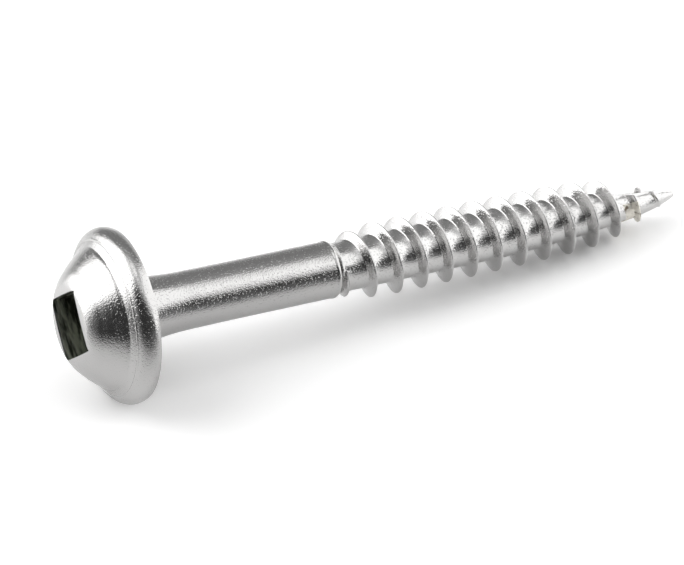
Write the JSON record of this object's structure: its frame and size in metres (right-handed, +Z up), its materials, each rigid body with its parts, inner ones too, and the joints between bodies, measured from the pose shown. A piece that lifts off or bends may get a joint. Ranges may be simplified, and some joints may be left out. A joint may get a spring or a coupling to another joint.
{
  "type": "deck screw",
  "caption": "Deck screw lying on its washer rim, with a domed washer head, square drive socket, plain shank, coarse thread and a tapered cutting point.",
  "frame": {"origin": "centre of the bounding box at floor level", "axes": "+X runs along the floor from the head to the point, +Z is up; the screw's own axis dips 5.90 degrees towards the point, as it rests on the washer rim and the thread"},
  "size_m": [0.0384, 0.01, 0.0099],
  "materials": {
    "steel": "bright, lightly grained as rolled"
  },
  "bodies": {
    "root": {"screw": "steel"}
  },
  "joints": []
}
